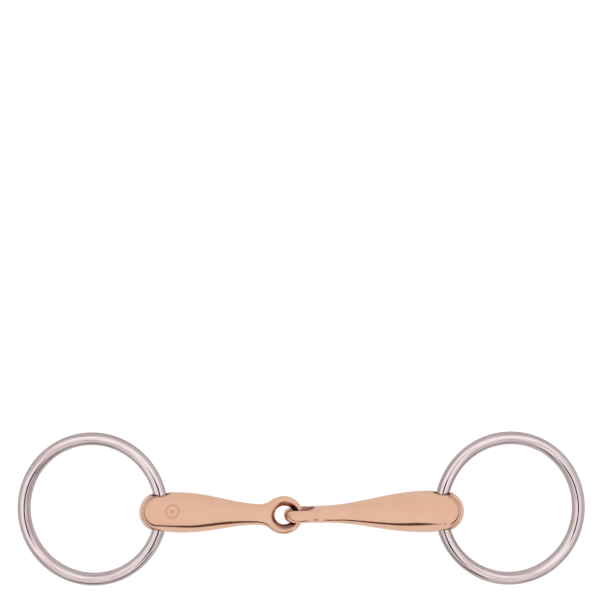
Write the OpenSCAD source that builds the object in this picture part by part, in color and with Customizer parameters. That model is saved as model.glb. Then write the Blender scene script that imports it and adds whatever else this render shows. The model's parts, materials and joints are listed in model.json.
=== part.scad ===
// Single-jointed loose-ring snaffle bit, lying flat with its rings resting on the surface.
// Two copper-alloy cannons are linked eye through eye, and each carries a loose steel ring.
// X runs along the mouthpiece, Y across it in the plane of the rings, Z up. Millimetres.

/* [Mouthpiece] */
// Mouth width, from the inner side of one ring's wire to the other's
mouth_w = 125; // [100:1:160]
// Left cannon, from the axis of its ring bore to the centre of its eye
left_cannon_len = 58; // [45:0.5:75]
// Thickness of the left cannon at its thickest
left_cannon_d = 18.7; // [12:0.1:24]
// Thickness of the right cannon at its thickest
right_cannon_d = 19.3; // [12:0.1:24]
// How much thinner the rounded end at the ring is than the thickest place
end_taper = 0.3; // [0.1:0.1:2]
// From the ring bore's axis to the thickest place
belly_back = 9.5; // [4:0.5:16]
// How far past the ring bore's axis the centre of the rounded end lies
end_past = 0.5; // [0:0.1:2]
// How far each cannon is turned in plan, so that the middle joint lies a little low
dip_deg = 1.5; // [0:0.5:5]

/* [Centre joint] */
// Outside diameter of each eye
eye_out_d = 17.9; // [14:0.1:24]
// Diameter of the hole through each eye
eye_hole_d = 9.4; // [7:0.1:14]
// Thickness of the eye along the axis of its hole
eye_h = 5.2; // [3:0.1:8]
// Distance between the two eyes' centres with the joint nearly taut
eye_gap = 8.9; // [8:0.1:9.3]
// Width of the neck behind the eye, across the eye's flat side
neck_w = 9.6; // [7:0.1:14]
// Thickness of the neck the other way
neck_h = 7.9; // [5:0.1:12]

/* [Rings] */
// Diameter of the ring's wire
wire_d = 6; // [4:0.5:10]
// Inside diameter of each ring
ring_in_d = 60; // [45:1:90]

/* [Ring bores] */
// Diameter of the bore that the wire runs through
bore_d = 8.6; // [7:0.1:12]
// Diameter of the flared mouth at each end of the bore
mouth_d = 11; // [9:0.1:14]
// Distance from the middle of the bore to where its mouths start to flare
flare_from = 6.6; // [4:0.1:9]

/* [Hidden] */
$fn = 96;
eps = 0.01;
running_gap = 0.05; // between two surfaces of revolution that turn in each other
bore_wall_t = 0.9;

wire_r = wire_d / 2;
ring_r = ring_in_d / 2 + wire_r; // centreline
bore_r = bore_d / 2;
left_r = left_cannon_d / 2;
right_r = right_cannon_d / 2;
eye_r = (eye_out_d + eye_hole_d) / 4; // centreline of the eye's bar
eye_bar_r = (eye_out_d - eye_hole_d) / 4; // half the bar's width in the eye's plane

// The curved wire bows sideways along the straight bore. The bore's axis lies half of that
// bow nearer the ring's centre, so that the wire keeps clear however the ring swings.
wire_bow = ring_r - sqrt(pow(ring_r, 2) - pow(left_r, 2));
bore_shift = wire_bow / 2;
swing_r = ring_r - bore_shift; // from the bore's axis to the ring's centre

right_cannon_len = mouth_w + wire_d + 2 * bore_shift - left_cannon_len - eye_gap;

// The cannons lie on their thickest places, and each ring's far side droops to the surface.
axis_z = max(left_r, right_r);
droop_deg = asin((axis_z - wire_r) / (swing_r + ring_r));

// Places along the mouthpiece, measured from the left eye's centre
left_ring_at = left_cannon_len + swing_r * cos(droop_deg);
right_bore_at = eye_gap + right_cannon_len;
right_ring_at = right_bore_at + swing_r * cos(droop_deg);

// The left eye's centre, with the origin midway between the two rings on the surface
left_eye_x = (left_ring_at - right_ring_at) / 2 * cos(dip_deg);
left_eye_y = -(left_ring_at + right_ring_at) / 2 * sin(dip_deg);

// Shoulder from the eye's flat sides up to the neck
shoulder_from = 4;
shoulder_to = 8.5;

// The neck flares into the eye along an arc that runs a little inside the eye's own outline
flare_r = 9;
flare_start = 5;
touching = sqrt(pow(eye_out_d / 2 + flare_r, 2) - pow(neck_w / 2 + flare_r, 2));
neck_at = 0.93 * touching;

copper = [0.84, 0.6, 0.47];
steel = [0.77, 0.76, 0.77];

// ---- Outlines, with X as the distance from the cannon's axis and Y along the axis ----

// The area under a smooth S from half-thickness r0 at z0 out to r1 at z1, made of two arcs.
module s_curve(z0, r0, z1, r1) {
    run = z1 - z0;
    rise = r1 - r0;
    arc_r = (pow(run, 2) + pow(rise, 2)) / (4 * rise);
    mid_z = (z0 + z1) / 2;
    mid_r = (r0 + r1) / 2;
    difference() {
        translate([0, z0]) square([mid_r, mid_z - z0 + eps]);
        translate([r0 + arc_r, z0]) circle(arc_r, $fn = 720);
    }
    intersection() {
        translate([0, mid_z]) square([r1, z1 - mid_z]);
        translate([r1 - arc_r, z1]) circle(arc_r, $fn = 720);
    }
}

// The area under the gentle arc from the thickest place to the round end, and that end.
module round_end(z_max, r_max, z_end) {
    end_r = r_max - end_taper / 2;
    run = z_end - z_max;
    arc_r = (pow(r_max, 2) + pow(run, 2) - pow(end_r, 2)) / (2 * (r_max - end_r));
    lean = atan(run / (arc_r - r_max));
    intersection() {
        translate([0, z_max - eps]) square([r_max, run + end_r * sin(lean) + eps]);
        translate([r_max - arc_r, z_max]) circle(arc_r, $fn = 2880);
    }
    intersection() {
        translate([0, z_end]) circle(end_r);
        translate([0, z_end]) square([end_r, end_r]);
    }
}

// Half the cannon's outline: the flare at the eye, the neck, the swell and the round end.
module half_outline(r_max, len) {
    r_neck = neck_w / 2;
    z_max = len - belly_back;
    difference() {
        translate([0, flare_start]) square([eye_out_d / 2, neck_at - flare_start + eps]);
        translate([r_neck + flare_r, neck_at]) circle(flare_r, $fn = 180);
    }
    s_curve(neck_at, r_neck, z_max, r_max);
    round_end(z_max, r_max, len + end_past);
}

// Half the outline in the thin direction, with the shoulder between the eye and the neck.
// It ends clear of the round outline, just past the thickest place.
module half_thin_outline(r_max, len) {
    z_max = len - belly_back;
    z_clear = z_max + 3;
    r_clear = r_max + 0.3;
    square([eye_h / 2, shoulder_from + eps]);
    s_curve(shoulder_from, eye_h / 2, shoulder_to, neck_h / 2);
    s_curve(shoulder_to, neck_h / 2, z_clear, r_clear);
    translate([0, z_clear - eps]) square([r_clear, len - z_clear + end_past + r_max + 1]);
}

// Oval section of the eye's bar, at a distance from the axis.
module bar_section(at) {
    straight = eye_h / 2 - eye_bar_r;
    for (side = [-1, 1]) translate([at, side * straight]) circle(eye_bar_r, $fn = 64);
    translate([at - eye_bar_r, -straight]) square([2 * eye_bar_r, 2 * straight]);
}

// ---- Solids in a cannon's own frame: eye centre at the origin, eye's hole along Z,
//      the cannon running out along X ----

module along_x() {
    rotate([90, 0, 90]) children();
}

// The eye: a bar of oval section bent into a full circle.
module eye_loop() {
    rotate_extrude() bar_section(eye_r);
}

// Turns an outline whose axis runs up the page so that the axis runs to the right.
module axis_across() {
    mirror([1, -1, 0]) children();
}

// The spindle: turned about X, with its neck flattened to the eye's side view.
module spindle(r_max, len) {
    intersection() {
        along_x() rotate_extrude($fn = 160) half_outline(r_max, len);
        union() {
            for (side = [0, 1]) mirror([0, 0, side])
                translate([0, r_max + 1, 0]) rotate([90, 0, 0]) linear_extrude(2 * r_max + 2)
                    axis_across() half_thin_outline(r_max, len);
        }
    }
}

// The round bore for the ring's wire, along Z, with flared mouths.
module ring_bore() {
    flare_h = left_r - flare_from;
    slope = (mouth_d / 2 - bore_r) / flare_h;
    past = 3;
    cylinder(h = 2 * left_r, r = bore_r, center = true);
    for (side = [0, 1]) mirror([0, 0, side]) translate([0, 0, flare_from])
        cylinder(h = flare_h + past, r1 = bore_r, r2 = mouth_d / 2 + slope * past);
}

// The wall of the bore between its flared mouths.
module bore_wall() {
    difference() {
        cylinder(h = 2 * flare_from, r = bore_r + bore_wall_t, center = true);
        cylinder(h = 3 * flare_from, r = bore_r, center = true);
    }
}

// The bore with room for its wall to turn.
module bore_room() {
    ring_bore();
    cylinder(h = 2 * (flare_from + running_gap), r = bore_r + bore_wall_t + running_gap, center = true);
}

// ---- Placing ----

module at_left_eye() {
    translate([left_eye_x, left_eye_y, axis_z]) children();
}

// The left cannon's frame, its X towards the left ring.
module in_left_cannon() {
    at_left_eye() rotate([0, 0, 180 - dip_deg]) children();
}

// The right cannon's frame, its X towards the right ring and its eye's hole along Y.
module in_right_cannon() {
    at_left_eye() rotate([0, 0, dip_deg]) translate([eye_gap, 0, 0]) children();
}

module on_edge() {
    rotate([90, 0, 0]) children();
}

module ring_at_bore() {
    rotate([0, droop_deg, 0]) translate([swing_r, 0, 0])
        rotate_extrude($fn = 180) translate([ring_r, 0]) circle(wire_r, $fn = 64);
}

// ---- Sub-parts ----

// Left half of the mouthpiece, without the two round regions that its joints turn about.
module left_cannon() {
    color(copper) in_left_cannon() difference() {
        spindle(left_r, left_cannon_len);
        cylinder(h = 2 * eye_h, r = eye_out_d / 2 + running_gap, center = true);
        translate([left_cannon_len, 0, 0]) on_edge() bore_room();
    }
}

// The eye at the left cannon's inner end, which the right cannon's eye is linked through.
module left_eye_loop() {
    color(copper) in_left_cannon() eye_loop();
}

module left_bore_wall() {
    color(copper) in_left_cannon() translate([left_cannon_len, 0, 0]) on_edge() bore_wall();
}

module left_ring() {
    color(steel) in_left_cannon() translate([left_cannon_len, 0, 0]) ring_at_bore();
}

// Right half of the mouthpiece, with its eye standing on edge.
module right_cannon() {
    color(copper) in_right_cannon() difference() {
        on_edge() union() {
            difference() {
                spindle(right_r, right_cannon_len);
                cylinder(h = 2 * eye_h, r = eye_r, center = true);
            }
            eye_loop();
        }
        translate([right_cannon_len, 0, 0]) on_edge() bore_room();
    }
}

module right_bore_wall() {
    color(copper) in_right_cannon() translate([right_cannon_len, 0, 0]) on_edge() bore_wall();
}

module right_ring() {
    color(steel) in_right_cannon() translate([right_cannon_len, 0, 0]) ring_at_bore();
}

left_cannon();
left_eye_loop();
left_bore_wall();
left_ring();
right_cannon();
right_bore_wall();
right_ring();
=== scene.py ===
"""Loose-ring snaffle bit: copper-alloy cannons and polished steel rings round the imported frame."""
import json
import math

import bmesh
import bpy
import numpy as np
from mathutils import Matrix, Vector


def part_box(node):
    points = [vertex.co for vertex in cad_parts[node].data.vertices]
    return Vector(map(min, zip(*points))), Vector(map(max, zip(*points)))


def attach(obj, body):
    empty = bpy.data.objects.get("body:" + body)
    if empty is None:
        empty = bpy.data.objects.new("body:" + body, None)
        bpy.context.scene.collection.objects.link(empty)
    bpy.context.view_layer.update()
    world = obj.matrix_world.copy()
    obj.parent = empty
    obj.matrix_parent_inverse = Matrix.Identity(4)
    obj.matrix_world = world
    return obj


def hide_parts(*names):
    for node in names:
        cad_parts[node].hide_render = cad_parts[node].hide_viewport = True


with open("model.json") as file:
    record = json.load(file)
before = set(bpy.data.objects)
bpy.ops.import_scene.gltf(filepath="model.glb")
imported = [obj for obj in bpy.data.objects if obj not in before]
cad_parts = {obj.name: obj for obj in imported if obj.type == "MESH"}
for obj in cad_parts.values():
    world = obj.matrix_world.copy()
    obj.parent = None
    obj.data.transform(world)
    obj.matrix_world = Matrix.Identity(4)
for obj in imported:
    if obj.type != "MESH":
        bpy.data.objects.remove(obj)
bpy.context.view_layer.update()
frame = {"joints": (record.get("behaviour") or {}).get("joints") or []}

MM = 0.001

# Whether each cannon's eye stands on edge
ON_EDGE = {"left": False, "right": True}

# Eye, neck and shoulder of both cannons, in millimetres
EYE_OUT_R = 8.95
EYE_HOLE_R = {"left": 4.32, "right": 4.7}
EYE_HALF_H = {"left": 2.6, "right": 2.9}
NECK_HALF_W = 4.8
NECK_HALF_H = 3.8
NECK_AT = 12.2
FLARE_R = 11.0
SHOULDER = {"left": (2.0, 8.0), "right": (2.0, 8.5)}

# The spindle starts inside the eye's bar, this far round the eye's centre and along from it
WEB_FROM = 5.3
WEB_BACK = 3.0

# Up to this share of the eye's radius the spindle keeps inside the eye's disc. It draws in by
# DISC_INSET over DISC_INSET_RUN, so that the bar's own surface shows.
DISC_SHARE = 0.61
DISC_INSET = 0.4
DISC_INSET_RUN = 2.0

# Section of the eye's bar: well rounded outside, with a wide bevel into the hole. The left eye's
# bevel is cut a little towards the joint.
OUTER_ROUND = 2.5
INNER_WAIST = 0.6
INNER_BEVEL_AT = 6.65
BEVEL_SHIFT = {"left": (0.8, 0.3), "right": (0.0, 0.0)}

# How square the section is at the eye, as a superellipse's power, and where it turns to an ellipse
SQUARENESS = {"left": 2.0, "right": 3.0}
SQUARE_TO = 4.0
ELLIPSE_FROM = 22.0

# How softly the eye's bar runs into the neck, and other surfaces into each other
EYE_BLEND = {"left": 0.7, "right": 0.9}
WEB_BLEND = 1.0
HOLE_BLEND = 0.6
BAR_BLEND = 0.5
BORE_BLEND = 0.5

# Swell and rounded end
SWELL_FROM = 10.0
BELLY_BACK = 10.0
THIN_SWELL_FROM = 7.0
THIN_BELLY_BACK = 7.5
END_TAPER = 0.22
END_PAST = 0.6

# Ring bore through each cannon
BORE_R = 4.2
MOUTH_HALF_W = 5.3
FLARE_FROM = 5.0
FACE_AT = 9.2

# Rings
WIRE_R = 3.0
RING_R = 33.0

# Stamped mark on the left cannon: a plain ring and dot
MARK_AT = (51.4, -1.8)
MARK_R = 2.9
MARK_LINE = 0.75
MARK_DOT_R = 1.1
MARK_DOT_EDGE = 0.5
MARK_DEPTH = 0.07
MARK_MARGIN = 2.0

# Grid that the cannons' surfaces are taken from, the room round it, and how the points settle
CELL = 0.42
ROOM = 1.0
SLOPE_STEP = 1e-3
LONGEST_MOVE = 0.2
RELAX_ROUNDS = 6
RELAX_SHARE = 0.6

# Colours of the alloy and the steel
COPPER_BRIGHT = (0.805, 0.513, 0.376)
COPPER_DULL = (0.76, 0.464, 0.33)
COPPER_LINES = (0.725, 0.42, 0.285)
# Tarnish colours that also paint shade into the bore and the eyes' holes, darkest deepest in
COPPER_TARNISH_AND_SHADE = (0.29, 0.17, 0.15)
COPPER_DEEP_TARNISH_AND_SHADE = (0.13, 0.062, 0.052)
COPPER_WARM_TARNISH_AND_SHADE = (0.13, 0.044, 0.03)
COPPER_STAMPED = (0.60, 0.31, 0.175)
STEEL_BRIGHT = (0.85, 0.745, 0.758)
STEEL_WORN = (0.775, 0.665, 0.68)
STEEL_STREAKS = (0.575, 0.425, 0.45)
LINE_HEIGHT = 0.00002

# The stage, in metres from here on: the camera, the light tent and the floor
CAMERA_LENS = 78.0
CAMERA_SENSOR = 36.0
CAMERA_AT = (-0.0006, 0.0981, 0.6181)
OPENING_RADIUS = 0.25
OPENING_FOOT = 0.013
OPENING_COLOUR = (0.085, 0.032, 0.021)
TENT_FOOT_RADIUS = 1.5
TENT_FRONT_RADIUS = 0.4
CARD_HEIGHT = 0.62
FLOOR_REACH = 9.0
WHITE = (1.0, 1.0, 1.0)

# Dark opening of the light tent: azimuth, lower and upper edge, in degrees. It climbs towards +X,
# all but closes at 25 to 40 degrees, beyond the right cannon's swell, and narrows to both ends.
OPENING_EDGES = (
    (-150, 2, 3), (-90, 2.1, 4.6), (-56, 2.3, 10), (-39, 3, 14), (-27, 5, 15), (-21, 6, 17),
    (-16, 5, 19), (-8, 3, 19.5), (0, 4.5, 23.5), (6, 8, 28), (12, 13, 33), (17, 15, 33),
    (22, 16, 31), (25, 17, 17.5), (33, 5, 5.2), (39, 3, 6), (46, 3, 12), (56, 2.3, 10),
    (90, 2.1, 4.6), (150, 2, 3))


# ---- Camera, light and floor ----

def link_object(name, data):
    obj = bpy.data.objects.new(name, data)
    bpy.context.scene.collection.objects.link(obj)
    return obj


def make_camera():
    """A camera that looks straight down, with the bit low in its view."""
    data = bpy.data.cameras.new("camera")
    data.lens = CAMERA_LENS
    data.sensor_width = CAMERA_SENSOR
    data.clip_start = 0.01
    camera = link_object("camera", data)
    camera.location = CAMERA_AT
    bpy.context.scene.camera = camera


def nodes_of(owner):
    """The empty node tree of a material or world."""
    owner.use_nodes = True
    tree = owner.node_tree
    tree.nodes.clear()
    return tree


def add_node(tree, kind, links=None, **settings):
    """A new node. A setting named in_X sets socket X, any other sets a property."""
    node = tree.nodes.new(kind)
    for name, value in settings.items():
        if name.startswith("in_"):
            node.inputs[name[3:].replace("_", " ")].default_value = value
        else:
            setattr(node, name, value)
    for socket, source in (links or {}).items():
        tree.links.new(source, node.inputs[socket])
    return node


def math_node(tree, operation, *values):
    node = tree.nodes.new("ShaderNodeMath")
    node.operation = operation
    for i, value in enumerate(values):
        if isinstance(value, (int, float)):
            node.inputs[i].default_value = value
        else:
            tree.links.new(value, node.inputs[i])
    return node.outputs[0]


def map_range(tree, value, low, high, to_low, to_high, smooth=False):
    kind = "SMOOTHSTEP" if smooth else "LINEAR"
    node = add_node(tree, "ShaderNodeMapRange", {0: value}, interpolation_type=kind)
    for i, number in enumerate((low, high, to_low, to_high)):
        node.inputs[i + 1].default_value = number
    return node.outputs[0]


def make_world():
    """A white light tent, a little brighter from above."""
    world = bpy.data.worlds.new("tent")
    bpy.context.scene.world = world
    tree = nodes_of(world)
    way = add_node(tree, "ShaderNodeTexCoord").outputs["Generated"]
    height = add_node(tree, "ShaderNodeSeparateXYZ", {0: way}).outputs["Z"]
    lit = map_range(tree, height, 0.0, 0.75, 0.95, 1.0, smooth=True)
    white = (1.0, 0.995, 0.99, 1.0)
    background = add_node(tree, "ShaderNodeBackground", {"Strength": lit}, in_Color=white)
    add_node(tree, "ShaderNodeOutputWorld", {"Surface": background.outputs[0]})


def stage_mesh(name, points, faces, shader_of):
    """A stage piece whose material is the shader that shader_of makes in a node tree."""
    mesh = bpy.data.meshes.new(name)
    mesh.from_pydata(points, [], faces)
    material = bpy.data.materials.new(name)
    material.cycles.emission_sampling = "NONE"
    tree = nodes_of(material)
    add_node(tree, "ShaderNodeOutputMaterial", {"Surface": shader_of(tree)})
    mesh.materials.append(material)
    obj = link_object(name, mesh)
    return obj


def emission(tree, colour, strength):
    node = add_node(tree, "ShaderNodeEmission", in_Color=(*colour, 1.0), in_Strength=strength)
    return node.outputs[0]


def only_reflected(obj, lit_pieces=None):
    """Hides a card from the camera. Its glow reaches only lit_pieces, where they are given."""
    obj.visible_camera = False
    obj.visible_diffuse = False
    obj.visible_shadow = False
    if lit_pieces:
        group = bpy.data.collections.new(obj.name + "_lights")
        for piece in lit_pieces:
            group.objects.link(piece)
        obj.light_linking.receiver_collection = group


def band(name, radius, spans, shader_of, foot=0.0):
    """An upright band round the stage. Each of its spans is (azimuth, low elevation, high
    elevation), in degrees, seen from the height of its foot."""
    points, faces = [], []
    for azimuth, low, high in spans:
        turn = math.radians(azimuth)
        x, y = radius * math.sin(turn), -radius * math.cos(turn)
        for elevation in (low, high):
            points.append((x, y, foot + radius * math.tan(math.radians(elevation))))
    for i in range(0, 2 * (len(spans) - 1), 2):
        faces.append((i, i + 2, i + 3, i + 1))
    return stage_mesh(name, points, faces, shader_of)


def make_front_opening():
    """The tent's dark opening, low on the -Y side and narrowing away to both ends."""
    azimuths, low, high = zip(*OPENING_EDGES)
    spans = []
    for azimuth in range(azimuths[0], azimuths[-1] + 1):
        edges = np.interp(azimuth, azimuths, low), np.interp(azimuth, azimuths, high)
        spans.append((azimuth, *edges))
    only_reflected(band("front_opening", OPENING_RADIUS, spans,
                        lambda tree: emission(tree, OPENING_COLOUR, 1.0), OPENING_FOOT))


def veil(low, high, share_low, share_high):
    """A white veil whose cover changes with the height, from share_low at low to share_high at high."""
    def shader(tree):
        place = add_node(tree, "ShaderNodeTexCoord").outputs["Object"]
        height = add_node(tree, "ShaderNodeSeparateXYZ", {0: place}).outputs["Z"]
        share = map_range(tree, height, low, high, share_low, share_high)
        clear = add_node(tree, "ShaderNodeBsdfTransparent").outputs[0]
        white = emission(tree, WHITE, 0.97)
        return add_node(tree, "ShaderNodeMixShader", {0: share, 1: clear, 2: white}).outputs[0]
    return shader


def make_skirt(copper_pieces):
    """The tent's dimmer foot all round and its dimmer front, which show in the steel."""
    foot = [(azimuth, -2.0, 45.0) for azimuth in range(0, 361, 5)]
    foot_veil = veil(0.0, 1.5, 0.34, 0.0)
    only_reflected(band("tent_foot", TENT_FOOT_RADIUS, foot, foot_veil), copper_pieces)
    front = [(azimuth, 24.0, 76.0) for azimuth in range(-65, 66, 5)]
    front_veil = veil(0.2, 1.6, 0.24, 0.03)
    only_reflected(band("tent_front", TENT_FRONT_RADIUS, front, front_veil), copper_pieces)


def level_card(name, x0, x1, y0, y1, z, shader_of):
    corners = [(x0, y0, z), (x1, y0, z), (x1, y1, z), (x0, y1, z)]
    return stage_mesh(name, corners, [(0, 1, 2, 3)], shader_of)


def glow(strength):
    """A lamp that adds its light to what lies behind it."""
    def shader(tree):
        clear = add_node(tree, "ShaderNodeBsdfTransparent").outputs[0]
        lamp = emission(tree, WHITE, strength)
        return add_node(tree, "ShaderNodeAddShader", {0: clear, 1: lamp}).outputs[0]
    return shader


def make_lens(copper_pieces, steel_pieces):
    """The dark gap that the camera looks through and the lamps round it, which show in the steel."""
    cards = (
        ("lens", -0.13, 0.13, -0.42, 0.06, lambda tree: emission(tree, WHITE, 1.0), copper_pieces),
        ("lamp_left", -0.26, -0.13, -0.42, 0.06, glow(0.3), steel_pieces),
        ("lamp_right", 0.13, 0.26, -0.42, 0.06, glow(0.3), steel_pieces),
        ("lamp_back", -0.7, 0.7, 0.16, 0.5, glow(0.14), steel_pieces))
    for name, x0, x1, y0, y1, shader_of, pieces in cards:
        only_reflected(level_card(name, x0, x1, y0, y1, CARD_HEIGHT, shader_of), pieces)


def floor_plane(name, z, glow_strength, albedo):
    """A white sheet that shows its own soft shadows only as far as its albedo goes."""
    def shader(tree):
        paper = add_node(tree, "ShaderNodeBsdfDiffuse", in_Color=(albedo, albedo, albedo, 1))
        shine = emission(tree, WHITE, glow_strength)
        return add_node(tree, "ShaderNodeAddShader", {0: shine, 1: paper.outputs[0]}).outputs[0]
    return level_card(name, -FLOOR_REACH, FLOOR_REACH, -FLOOR_REACH, FLOOR_REACH, z, shader)


def make_floor(copper_pieces):
    """The white sheet that the camera sees, and below it the one that shows in reflections."""
    seen = floor_plane("floor", -0.0001, 0.82, 0.35)
    seen.visible_glossy = False
    seen.visible_diffuse = False
    seen.visible_shadow = False
    under = floor_plane("floor_in_reflections", -0.0002, 0.33, 0.62)
    only_reflected(under, copper_pieces)
    under.visible_diffuse = True


# ---- Shapes as fields: negative inside, in a cannon's own frame in millimetres ----
#      u runs from the eye's centre to the ring, p across in the eye's plane, q along its hole.

def smooth_max(a, b, k):
    """The larger of two fields, with a fillet of size k where they meet."""
    h = np.clip(0.5 - 0.5 * (b - a) / k, 0.0, 1.0)
    return b * (1 - h) + a * h + k * h * (1 - h)


def smooth_min(a, b, k):
    return -smooth_max(-a, -b, k)


def rise(u, start, low, end, high):
    """Raised cosine from low at start to high at end."""
    t = np.clip((u - start) / (end - start), 0.0, 1.0)
    return low + (high - low) * (1 - np.cos(np.pi * t)) / 2


def near_end(u, radius, length):
    """Half thickness from the thickest place to the bore's axis and on, before the round end."""
    t = np.clip((u - length + BELLY_BACK) / BELLY_BACK, 0.0, 1.0)
    return radius - END_TAPER * t * t


def half_width(u, radius, length):
    """Half the cannon's width in the eye's plane."""
    body = rise(u, SWELL_FROM, NECK_HALF_W, length - BELLY_BACK, radius)
    back = np.clip(NECK_AT - u, 0.0, 0.999 * FLARE_R)
    flare = NECK_HALF_W + FLARE_R - np.sqrt(FLARE_R ** 2 - back ** 2)
    disc_end = DISC_SHARE * EYE_OUT_R
    disc_r = EYE_OUT_R - DISC_INSET * np.clip((disc_end - u) / DISC_INSET_RUN, 0, 1)
    disc = np.sqrt(np.clip(disc_r ** 2 - u ** 2, 0.01, None))
    eye_side = np.where(u < disc_end, np.minimum(flare, disc), flare)
    side = np.where(u < NECK_AT, np.maximum(eye_side, NECK_HALF_W), body)
    return side - radius + near_end(u, radius, length)


def half_height(u, radius, length, side):
    """Half the cannon's thickness along the eye's hole."""
    body = rise(u, THIN_SWELL_FROM, NECK_HALF_H, length - THIN_BELLY_BACK, radius)
    start, end = SHOULDER[side]
    shoulder = rise(u, start, 0.0, end, 1.0)
    eye = EYE_HALF_H[side]
    return eye + (body - eye) * shoulder - radius + near_end(u, radius, length)


def spindle(u, p, q, radius, length, side):
    """The cannon from its eye to its round end, as a superellipse at each place along it."""
    w = half_width(u, radius, length)
    h = half_height(u, radius, length, side)
    n = rise(u, SQUARE_TO, SQUARENESS[side], ELLIPSE_FROM, 2.0)
    across, up = np.abs(p) / w + 1e-6, np.abs(q) / h + 1e-6
    size = (across ** n + up ** n) ** (1 / n)
    steepness = np.hypot(across ** (n - 1) / w, up ** (n - 1) / h)
    along = (size - 1) * size ** (n - 1) / steepness
    end_r = radius - END_TAPER
    past = u - length - END_PAST
    cap = np.sqrt(np.clip(past, 0, None) ** 2 + p ** 2 + q ** 2) - end_r
    return np.where(past > 0, cap, along)


def within_bevel(u, p, side):
    """How far inside the rim of the eye's bevel a point lies."""
    shift_u, shift_p = BEVEL_SHIFT[side]
    return INNER_BEVEL_AT - np.hypot(u + shift_u, p + shift_p)


def eye_bar(u, p, q, side):
    """The eye: a bar bent into a circle about q, bevelled inside and rounded outside."""
    r = np.hypot(u, p)
    up = np.abs(q)
    run = INNER_BEVEL_AT - EYE_HOLE_R[side]
    half_h = EYE_HALF_H[side]
    drop = half_h - INNER_WAIST
    from_rim = within_bevel(u, p, side)
    bevel = (drop * from_rim + run * (up - half_h)) / math.hypot(run, drop)
    inner = smooth_max(EYE_HOLE_R[side] - r, bevel, HOLE_BLEND)
    out = np.maximum(r - EYE_OUT_R + OUTER_ROUND, 0)
    over = np.maximum(up - half_h + OUTER_ROUND, 0)
    outer = np.hypot(out, over) - OUTER_ROUND
    return smooth_max(inner, outer, BAR_BLEND)


def bore(u, v, w, length):
    """The straight bore along v. Its mouths widen along the cannon and not up and down."""
    flare = np.clip((np.abs(v) - FLARE_FROM) / (FACE_AT - FLARE_FROM), 0.0, 1.3)
    half_w = BORE_R + (MOUTH_HALF_W - BORE_R) * flare
    return np.hypot((u - length) * BORE_R / half_w, w) - BORE_R


def cannon_field(radius, length, side):
    """Field of one cannon in its frame: u along it, v level across it, w up."""
    def field(u, v, w):
        p, q = (w, v) if ON_EDGE[side] else (v, w)
        body = spindle(u, p, q, radius, length, side)
        body = smooth_max(body, WEB_FROM - np.hypot(u, p), WEB_BLEND)
        body = smooth_max(body, WEB_BACK - u, WEB_BLEND)
        body = smooth_min(body, eye_bar(u, p, q, side), EYE_BLEND[side])
        return smooth_max(body, -bore(u, v, w, length), BORE_BLEND)
    return field


# ---- Surface of a field ----

def crossings(values, axis):
    """Where the field changes sign along one grid axis, and how far along each edge."""
    low = np.moveaxis(values, axis, 0)[:-1]
    high = np.moveaxis(values, axis, 0)[1:]
    change = (low < 0) != (high < 0)
    share = np.where(change, low / np.where(low == high, 1, low - high), 0)
    return np.moveaxis(change, 0, axis), np.moveaxis(share, 0, axis)


def crossed_edges(values, cells, axis):
    """The grid edges along one axis that the surface crosses, away from the grid's own sides."""
    change, share = crossings(values, axis)
    at = np.argwhere(change)
    point = at.astype(float)
    point[:, axis] += share[change]
    others = [i for i in range(3) if i != axis]
    inner = np.all([(at[:, i] > 0) & (at[:, i] < cells[i]) for i in others], axis=0)
    at, point = at[inner], point[inner]
    rising = values[tuple(at.T)] < 0
    return others, at, point, rising


def cells_beside(at, others, back):
    """The cell beside each edge, zero or one step back along each of the two other axes."""
    where = at.copy()
    for axis, steps in zip(others, back):
        where[:, axis] -= steps
    return tuple(where.T)


def surface_net(field, low, high, cell):
    """Quads round the zero surface of a field, one corner in each grid cell that it crosses."""
    axes = [np.arange(a, b + cell, cell) for a, b in zip(low, high)]
    values = field(*np.meshgrid(*axes, indexing="ij"))
    cells = [n - 1 for n in values.shape]
    edges = [crossed_edges(values, cells, axis) for axis in range(3)]
    total = np.zeros((*cells, 3))
    count = np.zeros(cells)
    for others, at, point, _ in edges:
        for back in ((0, 0), (0, 1), (1, 0), (1, 1)):
            where = cells_beside(at, others, back)
            np.add.at(total, where, point)
            np.add.at(count, where, 1)
    used = tuple(np.argwhere(count > 0).T)
    index = -np.ones(cells, int)
    index[used] = np.arange(len(used[0]))
    points = total[used] / count[used][:, None]
    faces = []
    for axis, (others, at, _, rising) in enumerate(edges):
        round_edge = ((1, 1), (0, 1), (0, 0), (1, 0))
        quads = np.stack([index[cells_beside(at, others, back)] for back in round_edge], axis=1)
        flip = rising == (axis == 1)
        quads[flip] = quads[flip][:, ::-1]
        faces.append(quads)
    return np.array(low) + points * cell, np.concatenate(faces)


def gradient(field, points):
    """The field's slope at each point."""
    result = np.empty_like(points)
    for axis in range(3):
        offset = np.zeros(3)
        offset[axis] = SLOPE_STEP
        change = field(*(points + offset).T) - field(*(points - offset).T)
        result[:, axis] = change / (2 * SLOPE_STEP)
    return result


def settle(field, points, rounds=3):
    """Moves points onto the field's zero surface."""
    for _ in range(rounds):
        slope = gradient(field, points)
        reach = field(*points.T) / np.maximum((slope ** 2).sum(1), 0.05)
        points = points - np.clip(reach, -LONGEST_MOVE, LONGEST_MOVE)[:, None] * slope
    return points


def relax(field, points, faces, rounds):
    """Evens out the spacing of points over the surface."""
    pairs = np.concatenate([faces[:, [i, (i + 1) % 4]] for i in range(4)])
    pairs = np.concatenate([pairs, pairs[:, ::-1]])
    degree = np.bincount(pairs[:, 0], minlength=len(points))[:, None]
    for _ in range(rounds):
        mean = np.zeros_like(points)
        np.add.at(mean, pairs[:, 0], points[pairs[:, 1]])
        points = settle(field, points + RELAX_SHARE * (mean / degree - points), 1)
    return points


def unit(vectors):
    return vectors / np.linalg.norm(vectors, axis=1)[:, None]


# ---- Cannons ----

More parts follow.
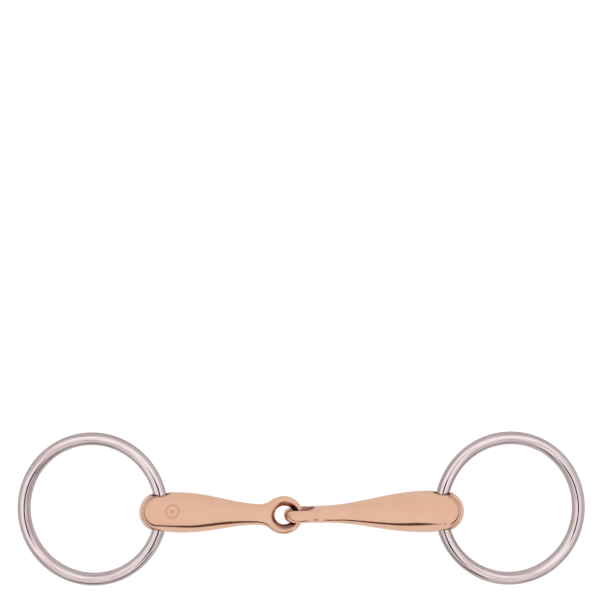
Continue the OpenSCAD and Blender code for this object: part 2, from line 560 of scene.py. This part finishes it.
def frame_matrix(origin, along, up):
    """Frame with its X along one direction and its Z as near another as can be."""
    x = Vector(along).normalized()
    y = Vector(up).cross(x).normalized()
    z = x.cross(y)
    turned = Matrix((x, y, z)).transposed().to_4x4()
    return Matrix.Translation(origin) @ turned


def refine_near(obj, centre, reach):
    """Splits the faces round the mark finely enough to hold it."""
    mesh = bmesh.new()
    mesh.from_mesh(obj.data)
    spot = Vector(centre) * MM
    edges = [e for e in mesh.edges if all((v.co - spot).length < reach * MM for v in e.verts)]
    bmesh.ops.subdivide_edges(mesh, edges=edges, cuts=3, use_grid_fill=True)
    mesh.to_mesh(obj.data)
    mesh.free()


def mark_depth(points):
    """How deep the stamped ring and dot lie at each point."""
    r = np.hypot(points[:, 0] - MARK_AT[0], points[:, 1] - MARK_AT[1])
    line = np.clip(1 - np.abs(r - MARK_R) / MARK_LINE, 0, 1)
    dot = np.clip((MARK_DOT_R - r) / MARK_DOT_EDGE, 0, 1)
    return MARK_DEPTH * np.maximum(line, dot) * (points[:, 2] > 0)


def read_points(mesh):
    """A mesh's points, in millimetres."""
    flat = np.empty(len(mesh.vertices) * 3)
    mesh.vertices.foreach_get("co", flat)
    return flat.reshape(-1, 3) / MM


def write_points(mesh, points):
    mesh.vertices.foreach_set("co", (points * MM).ravel())
    mesh.update()


def store(mesh, name, values):
    attribute = mesh.attributes.new(name, "FLOAT", "POINT")
    attribute.data.foreach_set("value", np.asarray(values, np.float32))


def bore_share(points, length, radius):
    """How far each point lies in the bore, where tarnish and painted shade darken the alloy."""
    u, v, w = points.T
    in_bore = np.clip(1 - np.hypot(u - length, w) / (BORE_R + 1.6), 0, 0.3) / 0.3
    return 0.7 * in_bore * (np.abs(v) < radius - 0.4)


def eye_share(points, side):
    """How far each point lies in the eye's hole, for its tarnish and painted shade. The flat eye's
    painted shade is lighter at its neck and its far side.
    """
    u, v, w = points.T
    p = w if ON_EDGE[side] else v
    inside = within_bevel(u, p, side) + 0.3
    in_eye = 0.5 * np.clip(inside / 0.7, 0, 1) + 0.5 * np.clip(inside / 2.3, 0, 1)
    if ON_EDGE[side]:
        return in_eye
    # Less painted shade on the flat eye's far side and towards its neck
    in_eye *= 1 - 0.6 * np.clip(-p / 4, 0, 1) * np.clip(1 + u / 9, 0, 1)
    return in_eye * (1 - 0.35 * np.clip(u / 3, 0, 1))


def cannon_surface(field, radius, length):
    """Evenly spaced points on a cannon's surface, and the quads between them."""
    edge = radius + ROOM
    low = (-EYE_OUT_R - ROOM, -edge, -edge)
    high = (length + edge + ROOM, edge, edge)
    points, faces = surface_net(field, low, high, CELL)
    points = relax(field, settle(field, points), faces, RELAX_ROUNDS)
    return settle(field, points), faces


def stamp_mark(obj, field, radius):
    """Sinks the mark into a cannon. Gives how deep each point of the mesh lies, from 0 to 1."""
    refine_near(obj, (*MARK_AT, radius), MARK_R + MARK_MARGIN)
    points = settle(field, read_points(obj.data), 2)
    depth = mark_depth(points)
    write_points(obj.data, points - depth[:, None] * unit(gradient(field, points)))
    return depth / MARK_DEPTH


def make_cannon(side, eye, bore_centre, radius):
    """One cannon as a single closed surface, in the frame of its eye."""
    name = side + "_cannon_whole"
    along = Vector(bore_centre) - Vector(eye)
    length = along.length / MM
    field = cannon_field(radius, length, side)
    points, faces = cannon_surface(field, radius, length)
    mesh = bpy.data.meshes.new(name)
    mesh.from_pydata((points * MM).tolist(), [], faces.tolist())
    obj = link_object(name, mesh)
    obj.matrix_world = frame_matrix(eye, along, (0, 0, 1))
    stamped = stamp_mark(obj, field, radius) if side == "left" else np.zeros(len(points))
    points = read_points(mesh)
    in_bore, in_eye = bore_share(points, length, radius), eye_share(points, side)
    # Masks for the tarnish and painted shade in the bore and the eyes' holes
    store(mesh, "recess", np.clip(in_bore + in_eye * (not ON_EDGE[side]), 0, 1))
    store(mesh, "warm_recess", in_eye * ON_EDGE[side])
    store(mesh, "stamp", stamped)
    mesh.shade_smooth()
    return obj


# ---- Rings ----

def make_ring(name, centre, axis):
    """The wire as a closed torus about its frame's Z."""
    around, across = 360, 48
    points, faces = [], []
    for i in range(around):
        turn = 2 * math.pi * i / around
        for j in range(across):
            roll = 2 * math.pi * j / across
            reach = RING_R + WIRE_R * math.cos(roll)
            x, y, z = reach * math.cos(turn), reach * math.sin(turn), WIRE_R * math.sin(roll)
            points.append((x * MM, y * MM, z * MM))
            a, b = (i + 1) % around, (j + 1) % across
            faces.append((i * across + j, a * across + j, a * across + b, i * across + b))
    mesh = bpy.data.meshes.new(name)
    mesh.from_pydata(points, [], faces)
    mesh.shade_smooth()
    obj = link_object(name, mesh)
    z_axis = Vector(axis).normalized()
    x_axis = Vector((0, 1, 0)).cross(z_axis).normalized()
    turned = Matrix((x_axis, z_axis.cross(x_axis), z_axis)).transposed().to_4x4()
    obj.matrix_world = Matrix.Translation(centre) @ turned
    return obj


# ---- Materials ----

def stretched_noise(tree, vector, scale, detail):
    """Noise on a vector scaled by a different amount on each axis."""
    mapping = add_node(tree, "ShaderNodeMapping", {"Vector": vector}, in_Scale=scale)
    noise = add_node(tree, "ShaderNodeTexNoise", {"Vector": mapping.outputs[0]},
                     in_Scale=1.0, in_Detail=detail, in_Roughness=0.6)
    return noise.outputs["Fac"]


def mix_colour(tree, share, a, b):
    """The colour a, or b as share goes to 1. Each is a node's output or a plain colour."""
    node = tree.nodes.new("ShaderNodeMix")
    node.data_type = "RGBA"
    sockets = node.inputs["Factor"], node.inputs[6], node.inputs[7]
    for socket, value in zip(sockets, (share, a, b)):
        if isinstance(value, tuple):
            socket.default_value = (*value, 1.0)
        else:
            tree.links.new(value, socket)
    return node.outputs[2]


def tinted(tree, tone, tint, by, low, high, most=1.0):
    """A tone mixed with a tint, by nothing where by is low and by most where it is high."""
    return mix_colour(tree, map_range(tree, by, low, high, 0.0, most), tone, tint)


def stored(tree, name):
    return add_node(tree, "ShaderNodeAttribute", attribute_name=name).outputs["Fac"]


def polish(tree, tone, lines, smoothest, roughest, relief):
    """Ends a metal material. Its fine lines change the roughness and stand up a little."""
    rough = map_range(tree, lines, 0.25, 0.8, smoothest, roughest)
    bump = add_node(tree, "ShaderNodeBump", {"Height": lines},
                    in_Strength=relief, in_Distance=LINE_HEIGHT)
    shader = add_node(tree, "ShaderNodeBsdfPrincipled",
                      {"Base Color": tone, "Roughness": rough, "Normal": bump.outputs[0]},
                      in_Metallic=1.0)
    add_node(tree, "ShaderNodeOutputMaterial", {"Surface": shader.outputs[0]})


def copper_material():
    """Rose-gold alloy polished along its length, with a little tarnish, and tarnish with painted shade
    in the bore and the eyes' holes.
    """
    material = bpy.data.materials.new("polished_copper_alloy")
    tree = nodes_of(material)
    place = add_node(tree, "ShaderNodeTexCoord").outputs["Object"]
    lines = stretched_noise(tree, place, (60, 3200, 3200), 3.0)
    cloud = stretched_noise(tree, place, (70, 130, 130), 3.0)
    recess = stored(tree, "recess")
    tone = tinted(tree, COPPER_BRIGHT, COPPER_DULL, cloud, 0.35, 0.7)
    tone = tinted(tree, tone, COPPER_LINES, lines, 0.3, 0.75, 0.5)
    # Tarnish and painted shade in the bore and the flat eye's hole, darkest deep inside them
    tone = tinted(tree, tone, COPPER_TARNISH_AND_SHADE, recess, 0.0, 0.75)
    tone = tinted(tree, tone, COPPER_DEEP_TARNISH_AND_SHADE, recess, 0.8, 1.0)
    # Tarnish and painted shade in the upright eye's hole
    tone = tinted(tree, tone, COPPER_WARM_TARNISH_AND_SHADE, stored(tree, "warm_recess"), 0.0, 1.0, 0.95)
    tone = tinted(tree, tone, COPPER_STAMPED, stored(tree, "stamp"), 0.0, 1.0, 0.85)
    polish(tree, tone, lines, 0.09, 0.17, 0.12)
    return material


def steel_material():
    """Polished steel wire with fine lines and wider streaks drawn along it, a little worn."""
    material = bpy.data.materials.new("polished_steel")
    tree = nodes_of(material)
    place = add_node(tree, "ShaderNodeTexCoord").outputs["Object"]
    x, y, z = add_node(tree, "ShaderNodeSeparateXYZ", {0: place}).outputs
    squares = math_node(tree, "MULTIPLY", x, x), math_node(tree, "MULTIPLY", y, y)
    from_axis = math_node(tree, "SQRT", math_node(tree, "ADD", *squares))
    drawn = add_node(tree, "ShaderNodeCombineXYZ", {0: from_axis, 1: z, 2: x}).outputs[0]
    lines = stretched_noise(tree, drawn, (4200, 4200, 60), 3.0)
    streaks = stretched_noise(tree, drawn, (640, 640, 36), 2.0)
    cloud = stretched_noise(tree, place, (160, 160, 160), 4.0)
    tone = tinted(tree, STEEL_BRIGHT, STEEL_WORN, cloud, 0.3, 0.75)
    tone = tinted(tree, tone, STEEL_STREAKS, streaks, 0.42, 0.6, 0.85)
    polish(tree, tone, lines, 0.05, 0.11, 0.10)
    return material


# ---- Assembly ----

def half_thickness(node):
    """Half the height of a CAD node's box, in millimetres."""
    low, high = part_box(node)
    return (high.z - low.z) / 2 / MM


def make_half(side, fold, eye_nodes, joints, copper, steel):
    """One cannon and its ring, where the cannon's fold, its bore and the ring's axis are."""
    cannon_node = side + "_cannon"
    bore_centre = joints[side + "_ring_swing"]["pos_m"]
    cannon = make_cannon(side, joints[fold]["pos_m"], bore_centre, half_thickness(cannon_node))
    cannon.data.materials.append(copper)
    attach(cannon, cannon_node)
    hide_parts(cannon_node, side + "_bore_wall", *eye_nodes)
    slide = joints[side + "_ring_slide_round"]
    ring = make_ring(side + "_ring_wire", slide["pos_m"], slide["axis"])
    ring.data.materials.append(steel)
    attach(ring, side + "_ring")
    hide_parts(side + "_ring")
    return cannon, ring


def main():
    bpy.context.scene.view_settings.view_transform = "Standard"
    make_camera()
    make_world()
    joints = {joint["name"]: joint for joint in frame["joints"]}
    metals = copper_material(), steel_material()
    left = make_half("left", "centre_fold_flat", ("left_eye_loop",), joints, *metals)
    right = make_half("right", "centre_fold_upright", (), joints, *metals)
    cannons, rings = zip(left, right)
    make_floor(cannons)
    make_front_opening()
    make_skirt(cannons)
    make_lens(cannons, rings)


main()
